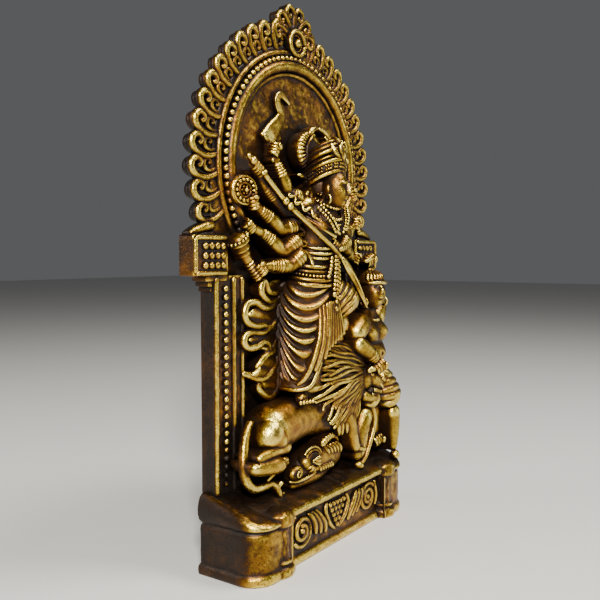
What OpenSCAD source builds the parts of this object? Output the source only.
// Arched relief statuette: a many-armed goddess on a lion, before a flame-bordered back.
// Frame: origin at the middle of the footprint's outline on the ground, +X to the viewer's
// right, -Y towards the viewer, +Z up. Millimetres.

/* [Overall] */
// Height from the ground to the tip of the crest
overall_h = 300; // [290:1:310]
// Width over the two capitals
overall_w = 175; // [170:1:180]
// Depth of the base, from its front to the flat back
base_d = 42; // [40:1:44]

/* [Arch] */
// Height of the arch's centre above the ground
arch_z = 208; // [206:1:210]
// Radius of the recessed disc behind the goddess
disc_r = 54; // [52:0.5:56]
// Radius of the inner ring's crest
inner_ring_r = 58.2; // [57:0.1:59]
// Radius of the row of beads between the two rings
bead_ring_r = 61.6; // [61:0.1:62]
// Radius of the outer ring's crest
outer_ring_r = 65; // [64.5:0.1:66]
// Radius where the flame petals start
petal_root_r = 68; // [67:0.5:69]
// Radius of the petals' tips
petal_tip_r = 85; // [83:0.5:86]
// Number of petals on each side, not counting the crest
petal_count = 12; // [10:1:13]
// Angle between neighbouring petals
petal_step = 8.1; // [7.8:0.1:8.4]

/* [Pillars] */
// Half the width over the pilasters
pilaster_x = 73; // [72:0.5:74]
// Height of the capitals' lower edge
capital_z0 = 150.5; // [149:0.5:152]
// Height of the capitals' upper edge
capital_z1 = 170.5; // [169:0.5:172]
// Distance between the beads on a pilaster
bead_pitch = 4.7; // [4.5:0.1:5]
// Diameter of those beads
bead_d = 3.2; // [2.8:0.1:3.6]

/* [Base] */
// Half the width over the end blocks
base_x = 77; // [75:0.5:78]
// Height of the ledge where it meets the back
ledge_back_z = 41; // [40:0.5:42]
// Height of the ledge at its front edge
ledge_front_z = 31; // [30:0.5:32]
// Middle of each colonette, from the middle of the base
colonette_x = 53.5; // [52:0.5:55]
// Width of a colonette
colonette_w = 17; // [16:0.5:18]

/* [Figures] */
// Radius of a forearm
forearm_r = 3.9; // [3.6:0.1:4.2]
// Radius of an upper arm
upper_arm_r = 4.4; // [4:0.1:4.8]
// Radius of a spear, sword hilt or other held shaft
shaft_r = 1.7; // [1.5:0.1:2]

/* [Hidden] */
back_y = base_d / 2;
front_y = -base_d / 2;
slab_front_y = back_y - 5;
pillar_front_y = back_y - 10;
petal_front_y = back_y - 4.5;
cap_half_w = overall_w / 2;
ring_low_angle = -37;
ring_sweep = 180 - 2 * ring_low_angle;
petal_low_angle = -19.5;
bead_ring_count = 64;
medallion_z = arch_z + 73;
block_x = 60;
sculpt_fn = 24;
metal = "goldenrod";
shade = "saddlebrown";

// A straight bar with round ends, from p to q, of radius a at p and b at q.
module bar(p, q, a, b) {
    d = q - p;
    length = norm(d);
    translate(p)
        rotate([0, acos(d[2] / length), atan2(d[1], d[0])])
            cylinder(h = length, r1 = a * 0.97, r2 = b * 0.97, $fn = sculpt_fn);
}

// A limb through a list of points, with one radius at each point.
module limb(points, radii) {
    for (i = [0 : len(points) - 1])
        translate(points[i]) sphere(r = radii[i], $fn = sculpt_fn);
    for (i = [0 : len(points) - 2])
        bar(points[i], points[i + 1], radii[i], radii[i + 1]);
}

// The same with its stretches hulled, for arms and for limbs that bend sharply.
module stout_limb(points, radii) {
    for (i = [0 : len(points) - 2])
        hull()
            for (k = [i, i + 1])
                translate(points[k]) sphere(r = radii[k], $fn = 17);
}

// A round mass with its own radius along each axis.
module mass(centre, radii) {
    translate(centre) resize(2 * radii) sphere(r = 10, $fn = 22);
}

// Level ovals, each [centre, half widths], joined into one smooth column.
module column(ovals) {
    for (i = [0 : len(ovals) - 2])
        hull()
            for (o = [ovals[i], ovals[i + 1]])
                translate(o[0]) linear_extrude(0.2) resize(2 * o[1]) circle(r = 10, $fn = 28);
}

// Places its children at an angle and a radius on the arch, their +X pointing outwards.
module on_arch(angle, radius, y) {
    translate([radius * cos(angle), y, arch_z + radius * sin(angle)])
        rotate([0, -angle, 0]) children();
}

// A ring around the arch's centre that stops where the capitals begin.
module arch_ring(radius, half_w, height, y) {
    translate([0, y, arch_z]) rotate([90, 0, 0]) rotate([0, 0, ring_low_angle])
        rotate_extrude(angle = ring_sweep, $fn = 120)
            translate([radius, 0]) intersection() {
                scale([half_w / height, 1]) circle(r = height, $fn = 32);
                translate([-half_w, -0.5]) square([2 * half_w, height + 1]);
            }
}

// ---------------------------------------------------------------- back and border

module back_slab() {
    color(shade) translate([0, back_y, 0]) rotate([90, 0, 0])
        linear_extrude(back_y - slab_front_y) {
            translate([0, arch_z]) circle(r = petal_root_r + 1, $fn = 120);
            translate([-pilaster_x + 2, ledge_back_z - 1])
                square([2 * pilaster_x - 4, capital_z1 - ledge_back_z + 6]);
        }
}

module nimbus_disc() {
    color(metal) translate([0, slab_front_y, arch_z]) rotate([90, 0, 0])
        intersection() {
            cylinder(h = 0.8, r = disc_r, $fn = 120);
            translate([-disc_r, capital_z1 + 1 - arch_z, -1])
                cube([2 * disc_r, 2 * disc_r, 3]);
        }
}

module inner_ring() {
    color(metal) arch_ring(inner_ring_r, 3, 6, slab_front_y);
}

module outer_ring() {
    color(metal) arch_ring(outer_ring_r, 2.1, 3.2, slab_front_y);
}

module ring_beads() {
    color(metal)
        for (i = [0 : bead_ring_count - 1]) {
            angle = ring_low_angle + ring_sweep * (i + 0.5) / bead_ring_count;
            on_arch(angle, bead_ring_r, slab_front_y - 1.4) sphere(d = 3.2, $fn = 20);
        }
}

// One flame leaf: a drop with a raised round lobe, pointing along +X.
module flame_leaf(length, width, thick) {
    rotate([90, 0, 0]) {
        linear_extrude(thick) {
            translate([length - width / 2, 0]) circle(d = width, $fn = 28);
            polygon([[-1, -width * 0.36], [length - width / 2, -width * 0.48],
                [length - width / 2, width * 0.48], [-1, width * 0.36]]);
        }
        translate([length - width / 2, 0, thick])
            rotate_extrude($fn = 32) translate([width * 0.31, 0])
                intersection() {
                    circle(r = 1.6, $fn = 20);
                    translate([-2, -0.6]) square([4, 3]);
                }
    }
}

module flame_petals(side) {
    band_angle = petal_low_angle - 6;
    color(metal) {
        translate([0, back_y, arch_z]) mirror([side < 0 ? 1 : 0, 0, 0])
            rotate([90, 0, 0]) rotate([0, 0, band_angle])
                rotate_extrude(angle = 90 - band_angle, $fn = 120)
                    translate([petal_root_r + 1, 0]) square([8, back_y - petal_front_y]);
        for (i = [0 : petal_count]) {
            big = i == petal_count ? 1.35 : 1;
            angle = petal_low_angle + (i + (big - 1) * 0.8) * petal_step;
            on_arch(side > 0 ? angle : 180 - angle, petal_root_r + 1.5, back_y)
                flame_leaf(petal_tip_r - petal_root_r - 1.5, 10.2 * big, 5.2);
        }
    }
}

module flame_petals_left() { flame_petals(-1); }
module flame_petals_right() { flame_petals(1); }

module crest_medallion() {
    color(metal) translate([0, petal_front_y + 1, medallion_z]) rotate([90, 0, 0]) {
        cylinder(h = 3, r = 9.5, $fn = 48);
        translate([0, 0, 3]) rotate_extrude($fn = 48) translate([8, 0]) intersection() {
            circle(r = 1.8, $fn = 20);
            translate([-2, -0.5]) square([4, 3]);
        }
        translate([0, 0, 3]) sphere(r = 4, $fn = 28);
        for (i = [0 : 9])
            rotate([0, 0, 36 * i]) translate([5.6, 0, 3.2]) sphere(r = 1.1, $fn = 16);
    }
}

module crest_leaves() {
    leaf = overall_h - medallion_z;
    color(metal)
        for (a = [-64, -38, 0, 38, 64])
            translate([0, back_y, medallion_z]) rotate([0, a, 0]) translate([0, 0, 2])
                rotate([0, -90, 0]) flame_leaf(leaf - 2 - abs(a) * 0.02, 10.5, 7);
}

module shoulder_leaves() {
    color(metal)
        for (side = [-1, 1])
            limb([[side * 84, 17, 172], [side * 77, 16.5, 174], [side * 71, 16, 178]],
                [2, 3, 2]);
}

module capital(side) {
    inner = 62;
    rim = 2.2;
    color(metal) mirror([side < 0 ? 1 : 0, 0, 0]) {
        difference() {
            translate([inner, pillar_front_y, capital_z0])
                cube([cap_half_w - inner, 10, capital_z1 - capital_z0]);
            translate([inner + 2, pillar_front_y - 1, capital_z0 + rim])
                cube([cap_half_w - inner - 2 - 3 * rim, 2.6, capital_z1 - capital_z0 - 2 * rim]);
        }
        for (i = [0 : 3], j = [0 : 2])
            translate([66.3 + i * 4, pillar_front_y + 1.2, 156 + j * 4.5])
                sphere(d = 3.4, $fn = 20);
        translate([pilaster_x - 1, pillar_front_y + 1, capital_z0 - 8])
            cube([3, 9, 8.5]);
    }
}

module capital_left() { capital(-1); }
module capital_right() { capital(1); }

module pilaster(side) {
    height = capital_z0 - ledge_back_z + 2;
    fillet_r = 1.5;
    color(metal) mirror([side < 0 ? 1 : 0, 0, 0])
        translate([0, 0, ledge_back_z - 2]) {
            translate([50, pillar_front_y + 1, 0]) cube([pilaster_x - 50, 9, height]);
            for (x = [58.2, pilaster_x - 2])
                translate([x, pillar_front_y + 1, 0]) cylinder(h = height, r = fillet_r, $fn = 24);
        }
}

module pilaster_left() { pilaster(-1); }
module pilaster_right() { pilaster(1); }

module pilaster_beads(side) {
    count = floor((capital_z0 - ledge_back_z - 6) / bead_pitch);
    color(metal)
        for (i = [0 : count - 1])
            translate([side * 64.8, pillar_front_y + 0.8, ledge_back_z + 4 + i * bead_pitch])
                sphere(d = bead_d, $fn = 20);
}

module pilaster_beads_left() { pilaster_beads(-1); }
module pilaster_beads_right() { pilaster_beads(1); }

// ---------------------------------------------------------------- base

// The side outline of the base from its back to a given front, as [y, z] points.
function base_outline(y) = [[back_y, 0], [y, 0], [y, ledge_front_z - 2.5],
    [y + 2.5, ledge_front_z], [slab_front_y, ledge_back_z - 1], [back_y, ledge_back_z]];

module plinth() {
    color(shade) translate([-block_x, 0, 0]) rotate([90, 0, 90])
        linear_extrude(2 * block_x) polygon(base_outline(front_y + 8));
    color(metal) translate([-46, front_y + 4, ledge_front_z - 3.4]) rotate([5, 0, 0])
        cube([92, 12, 3.4]);
}

module end_block(side) {
    corner = 13;
    color(metal) mirror([side < 0 ? 1 : 0, 0, 0])
        intersection() {
            linear_extrude(60) {
                translate([block_x, front_y + 2 + corner])
                    square([base_x - block_x, base_d - 2 - corner]);
                translate([block_x, front_y + 2]) square([base_x - block_x - corner, corner + 1]);
                translate([base_x - corner, front_y + 2 + corner]) circle(r = corner, $fn = 48);
            }
            translate([50, 0, 0]) rotate([90, 0, 90])
                linear_extrude(40) polygon(base_outline(front_y + 2));
        }
}

module end_block_left() { end_block(-1); }
module end_block_right() { end_block(1); }

// A short round-fronted post with a bulging foot and cap.
module colonette(side) {
    r = colonette_w / 2;
    color(metal) translate([side * colonette_x, front_y + r, 0]) {
        cylinder(h = 2.2, r = r - 0.6, $fn = 48);
        translate([0, 0, 2]) cylinder(h = 7.2, r1 = r, r2 = r - 0.8, $fn = 48);
        translate([0, 0, 9]) cylinder(h = 18.2, r = r - 1.2, $fn = 48);
        translate([0, 0, 27]) cylinder(h = 4.4, r1 = r - 0.6, r2 = r, $fn = 48);
        translate([0, 0, 31.4]) cylinder(h = 5, r1 = r, r2 = r - 3.5, $fn = 48);
    }
}

module colonette_left() { colonette(-1); }
module colonette_right() { colonette(1); }

// Scrolls, slanting leaves and a cluster of beads between the colonettes.
module scroll_panel() {
    face_y = front_y + 8;
    scroll_z = 18;
    color(metal) {
        translate([-44, face_y - 1, 0]) cube([88, 2, 7.5]);
        for (side = [-1, 1]) {
            for (r = [8.4, 5.2])
                translate([side * 30, face_y, scroll_z]) rotate([90, 0, 0])
                    rotate_extrude($fn = 40) translate([r, 0]) circle(r = 1.3, $fn = 16);
            translate([side * 30, face_y, scroll_z]) sphere(r = 2.4, $fn = 24);
            for (k = [0 : 2])
                bar([side * (12 + 2.6 * k), face_y, 9.5 + k], [side * (17 + 2 * k), face_y, 27],
                    1.1, 1.3);
        }
        for (row = [0 : 3], k = [-row : 2 : row])
            translate([k * 2.6, face_y - 0.4, 12 + row * 4]) sphere(r = 2.1, $fn = 18);
    }
}

// ---------------------------------------------------------------- goddess

waist = [-2, 2, 152];
chest = [3, 1, 176];
neck = [7, -4, 190];
head = [8, -6, 198];
shoulder_l = [-9, 2, 184];
shoulder_r = [17, 2, 184];

module goddess_torso() {
    color(metal) {
        column([[waist + [0, 0, -4], [13, 9]], [waist + [1, 0, 4], [11, 8]],
            [chest + [0, 0, -6], [12.5, 9]], [chest + [0, 1, 8], [13.5, 8]],
            [neck + [-1, 3, 0], [5, 5]]]);
        for (side = [-1, 1])
            translate([chest[0] + side * 5.5, -6.5, 174]) sphere(r = 5.2, $fn = 22);
    }
}

module goddess_head() {
    color(metal) {
        mass(head, [7.6, 8.4, 11]);
        bar(neck + [0, 1, -4], head + [0, 2, -2], 4.6, 4.4);
    }
}

module goddess_crown() {
    top = head + [0.5, 3.5, 12.5];
    color(metal) {
        mass(top, [10, 9, 13.5]);
        translate(head + [0, 1, 6]) rotate([-24, 0, 0]) rotate_extrude($fn = 40)
            translate([8.6, 0]) circle(r = 1.5, $fn = 18);
        translate(head + [1.5, -7.5, 19]) sphere(r = 4.2, $fn = 24);
    }
}

// Two ribbed crescents that stand beside the crown, with a leaf tip above each.
module crown_wings() {
    color(metal)
        for (side = [-1, 1]) {
            translate([head[0] + 0.5 + side * 3, 8.5, 219]) rotate([90, 0, 0])
                rotate([0, 0, side > 0 ? -78 : 108])
                    rotate_extrude(angle = 150, $fn = 48) translate([11.5, 0])
                        circle(r = 2.8, $fn = 20);
            stout_limb([[head[0] + side * 12, 6, 204], [head[0] + side * 19, 9, 206]],
                [2.2, 1]);
            stout_limb([[head[0] + side * 7, 8, 229], [head[0] + side * 3, 8, 233]], [2.6, 1.2]);
        }
}

module goddess_hair() {
    color(shade)
        for (side = [-1, 1]) {
            limb([head + [side * 8, 3, -1], head + [side * 10.5, 5, -9], head + [side * 11, 7, -17]],
                [2.6, 3.2, 2.2]);
            translate(head + [side * 8.3, -1, -6]) rotate([90, 0, 70])
                rotate_extrude($fn = 28) translate([2.4, 0]) circle(r = 0.9, $fn = 16);
        }
}

// Three strings that hang in widening loops over the chest.
module necklaces() {
    color(metal)
        for (row = [0 : 2])
            translate([neck[0] - row, -7.5 - row, 188 - row * 3]) rotate([78, 0, 0])
                rotate([0, 0, 190]) rotate_extrude(angle = 160, $fn = 48)
                    translate([5.5 + row * 2.8, 0]) circle(r = 1.1, $fn = 16);
}

module girdle() {
    color(metal) {
        for (level = [0, 1])
            translate(waist + [0, 0, 1 - level * 6]) rotate([7, 8, 0]) scale([1.5, 1, 1])
                rotate_extrude($fn = 44) translate([9.6 + level, 0]) circle(r = 1.5, $fn = 18);
        limb([[-1, -8.5, 160], [-1.5, -11, 150], [-1.5, -12, 140], [-1.5, -12, 133]],
            [2.2, 2.6, 2.6, 2]);
    }
}

skirt_ovals = [[[-3, 2, 151], [13.5, 9.5]], [[-5, 3, 140], [19, 12.5]],
    [[-6, 3, 130], [20, 12.5]], [[-9, 3, 115], [16.5, 12]], [[-11.5, 3, 100], [13.5, 11.5]],
    [[-12.5, 3, 88], [13, 11.5]]];

module skirt() {
    color(metal) column(skirt_ovals);
}

// Long pleats down the middle of the skirt and a fan of narrow ones beside them.
module skirt_pleats() {
    color(metal) {
        for (k = [0 : 2])
            bar([-10 + k * 2.6, -9.5, 132], [-15 + 3.2 * k, -9.6, 99 + 2 * k], 1.3, 1.6);
        for (k = [0 : 4])
            bar([-2.5 + k * 0.9, -10.5, 134], [-5.5 + k * 2.8, -10.5, 110 + k], 1, 1.4);
    }
}

// The scarf falls in loops at the side of the skirt and ends in a hanging lobe.
module scarf() {
    color(metal) {
        limb([[-17, 10, 148], [-24, 10, 143], [-32, 10, 136], [-46, 10, 136], [-50, 10, 130],
            [-46, 10, 124], [-33, 9, 123], [-46, 10, 121], [-51, 10, 116], [-45, 10, 113],
            [-32, 9, 112], [-40, 10, 106]],
            [1.6, 1.8, 2, 2, 2, 2, 1.8, 2, 2, 2, 1.8, 1.6]);
        limb([[-50, 11, 99], [-38, 9, 96], [-27, 9, 108]], [1.4, 1.8, 1.8]);
        limb([[-38, 9, 96], [-36, 8, 87], [-29, 7, 84], [-22, 7, 93]], [1.6, 1.8, 1.8, 1.8]);
    }
}

module raised_thigh() {
    color(metal) stout_limb([[4, 0, 136], [23, -5, 131], [24, 2, 112]], [10.5, 8.5, 6]);
}

module goddess_foot() {
    color(metal) {
        limb([[-17, 2, 91], [-20, 0, 86], [-24, -5, 82]], [4.2, 4.4, 2.8]);
        for (k = [0 : 4])
            translate([-19.5 - 2.1 * k, -8 + k * 1.3, 81]) sphere(r = 1.25, $fn = 16);
    }
}

// A flat band around the stretch from p to q, at a fraction of its length.
module bangle(p, q, fraction) {
    d = q - p;
    translate(p + d * fraction) rotate([0, acos(d[2] / norm(d)), atan2(d[1], d[0])])
        cylinder(h = 1.3, r = upper_arm_r + 0.5, $fn = sculpt_fn);
}

// An arm from shoulder to fist, with raised bangles at the wrist and above the elbow.
module arm(shoulder, elbow, wrist, hand) {
    stout_limb([shoulder, elbow, wrist, hand],
        [upper_arm_r, upper_arm_r * 0.95, forearm_r * 0.8, forearm_r]);
    for (k = [0 : 1]) {
        bangle(elbow, wrist, 0.68 + 0.16 * k);
        bangle(shoulder, elbow, 0.4 + 0.2 * k);
    }
}

module arm_sword() {
    color(metal) arm(shoulder_l + [1, 1, 7], [-19, 7, 193], [-26, 9, 207], [-29, 9, 216]);
}
module arm_spear_upper() {
    color(metal) arm(shoulder_l + [-2, 2, 1], [-23, 7, 184], [-37, 9, 197], [-42, 9, 205]);
}
module arm_wheel() {
    color(metal) arm(shoulder_l + [-3, 1, -5], [-27, 5, 175], [-41, 8, 184], [-47, 9, 188]);
}
module arm_fist() {
    color(metal) arm(shoulder_l + [-4, 0, -12], [-25, 5, 163], [-41, 8, 173], [-53, 9, 175]);
}
module arm_mace() {
    color(metal) arm(shoulder_l + [-3, -2, -19], [-22, 2, 155], [-36, 5, 155], [-45, 6, 154]);
}
module arm_spear_grip() {
    color(metal) arm(shoulder_r + [-2, -3, -3], [22, -5, 168], [14, -7, 164], [7, -8, 164]);
}
module arm_bow() {
    color(metal) arm(shoulder_r + [1, 1, 7], [30, 7, 193], [37, 9, 207], [40, 9, 216]);
}
module arm_shield() {
    color(metal) arm(shoulder_r + [2, 2, 1], [33, 6, 182], [46, 8, 192], [52, 9, 199]);
}
module arm_conch() {
    color(metal) {
        arm(shoulder_r + [3, 1, -5], [38, 6, 174], [51, 8, 178], [58, 8, 180]);
        limb([[58, 6, 176], [59, 6, 184], [59, 6, 189]], [2, 4.2, 1.4]);
    }
}
module arm_right_low() {
    color(metal) arm(shoulder_r + [3, 0, -12], [37, 3, 164], [48, 3, 161], [56, 2, 160]);
}

module sword() {
    color(metal) translate([0, slab_front_y - 0.4, 0]) rotate([90, 0, 0]) linear_extrude(2.6)
        polygon([[-33, 224], [-20, 222], [-14, 231], [-12, 237], [-17, 244], [-9, 242], [-7, 244],
            [-15, 249], [-21, 246], [-21, 242], [-17, 236], [-21, 231]]);
}

module spear() {
    color(metal) {
        limb([[-48, 7, 210], [-20, 4, 188], [-7, 0, 178], [6, -8, 165]],
            [shaft_r, shaft_r, shaft_r, shaft_r]);
        limb([[6, -8, 165], [12, -9, 157], [22, -9.5, 144], [35, -9, 130]], [2, 2.8, 2, 1]);
    }
}

module wheel() {
    color(metal) translate([-53, 9, 193.5]) rotate([0, 0, -20]) rotate([90, 0, 0]) {
        cylinder(h = 2.6, r = 7.6, $fn = 40);
        translate([0, 0, 2.4]) sphere(r = 2, $fn = 20);
        for (k = [0 : 11])
            rotate([0, 0, 30 * k]) translate([5.9, 0, 2.4]) sphere(r = 1.2, $fn = 16);
        for (k = [0 : 7])
            rotate([0, 0, 45 * k]) translate([3.4, 0, 2.4]) sphere(r = 0.9, $fn = 16);
    }
}

module mace() {
    color(metal) {
        limb([[-59, 8, 169], [-56, 7, 164], [-50, 6.5, 157], [-43, 6, 148]], [5, 5.8, 3, 2.8]);
    }
}

module bow() {
    color(metal) translate([24, slab_front_y - 1, 212]) rotate([90, 0, 0]) rotate([0, 0, -35])
        rotate_extrude(angle = 90, $fn = 64) translate([19, 0]) circle(r = 1.5, $fn = 16);
}

module shield() {
    color(metal) translate([53, 9, 199]) rotate([90, 0, 0]) {
        cylinder(h = 2.6, r = 7.6, $fn = 40);
        translate([0, 0, 2.4]) sphere(r = 3, $fn = 24);
    }
}

// ---------------------------------------------------------------- lion and buffalo

module lion_body() {
    color(metal) limb([[-41, 5, 69], [-20, 4, 71], [6, 3, 70]], [13, 12.5, 13]);
}

module lion_hind_leg() {
    color(metal) {
        stout_limb([[-44, 0, 68], [-34, -3, 61], [-60, -3, 57], [-43, -5, 53.5]],
            [12, 6.5, 4.6, 4.2]);
    }
}

module lion_tail() {
    color(metal) limb([[-46, 7, 75], [-55, 6, 68], [-60.5, 4, 58.5], [-62.5, 2, 49], [-59, 0, 43],
        [-47.5, -2, 42], [-42, -3, 38.5]], [2.3, 2.5, 2.5, 2.5, 2.4, 2.2, 1.8]);
}

module lion_mane() {
    color(metal) {
        mass([20, 0, 88], [32, 13, 18]);
        mass([14, -2, 68], [13, 9, 13]);
    }
}

module lion_head() {
    color(metal) {
        mass([37, -6, 85], [10, 8.5, 11]);
        stout_limb([[38, -9, 81], [44, -12, 78]], [6.2, 4.6]);
        stout_limb([[32, -8, 71], [40, -11, 69]], [4, 3]);
    }
}

module buffalo_head() {
    color(metal) {
        limb([[20, 0, 46], [-3, -2, 45.5], [-26, -4, 41.5]], [10, 9, 5.5]);
        for (side = [-1, 1])
            limb([[-2, -3 + side * 4, 54], [5, -3 + side * 5, 57.5], [14, -3 + side * 4, 56.5]],
                [2.2, 1.8, 1.1]);
    }
}

// ---------------------------------------------------------------- demon

module demon_head() {
    color(metal) {
        mass([54, -5, 139], [8.2, 8.6, 10.5]);
        mass([56, -3, 147], [9.5, 9, 7]);
    }
}

module demon_torso() {
    color(metal) {
        column([[[56, -1, 90], [9, 9]], [[54, -2, 99], [11, 9.5]], [[53, -1, 110], [12.5, 9]],
            [[53, 0, 121], [12.5, 8]], [[54, -1, 129], [5, 5]]]);
        for (side = [-1, 1])
            translate([53 + side * 6, -6, 114]) sphere(r = 5.6, $fn = 22);
    }
}

module demon_arms() {
    color(metal) {
        stout_limb([[43, -3, 120], [30, -6, 114], [40, -10, 100]], [6.5, 6, 4.5]);
        stout_limb([[66, -2, 120], [74, -2, 132], [72, 0, 146], [64, 2, 158]],
            [5.5, 4.6, 4, 4]);
    }
}

module demon_legs() {
    color(metal) {
        limb([[57, -4, 86], [64, -9, 72], [67, -10, 60], [69.5, -11, 37]], [10, 8.5, 6, 3.6]);
        limb([[50, -5, 80], [40, -8, 66], [32, -8, 52], [31, -6, 38]], [8.5, 6.6, 5, 4]);
    }
}

back_slab();
nimbus_disc();
inner_ring();
ring_beads();
outer_ring();
flame_petals_left();
flame_petals_right();
crest_medallion();
crest_leaves();
shoulder_leaves();
capital_left();
capital_right();
pilaster_left();
pilaster_right();
pilaster_beads_left();
pilaster_beads_right();
plinth();
end_block_left();
end_block_right();
colonette_left();
colonette_right();
scroll_panel();
goddess_torso();
goddess_head();
goddess_crown();
crown_wings();
goddess_hair();
necklaces();
girdle();
skirt();
skirt_pleats();
scarf();
raised_thigh();
goddess_foot();
arm_sword();
arm_spear_upper();
arm_wheel();
arm_fist();
arm_mace();
arm_spear_grip();
arm_bow();
arm_shield();
arm_conch();
arm_right_low();
sword();
spear();
wheel();
mace();
bow();
shield();
lion_body();
lion_hind_leg();
lion_tail();
lion_mane();
lion_head();
buffalo_head();
demon_head();
demon_torso();
demon_arms();
demon_legs();
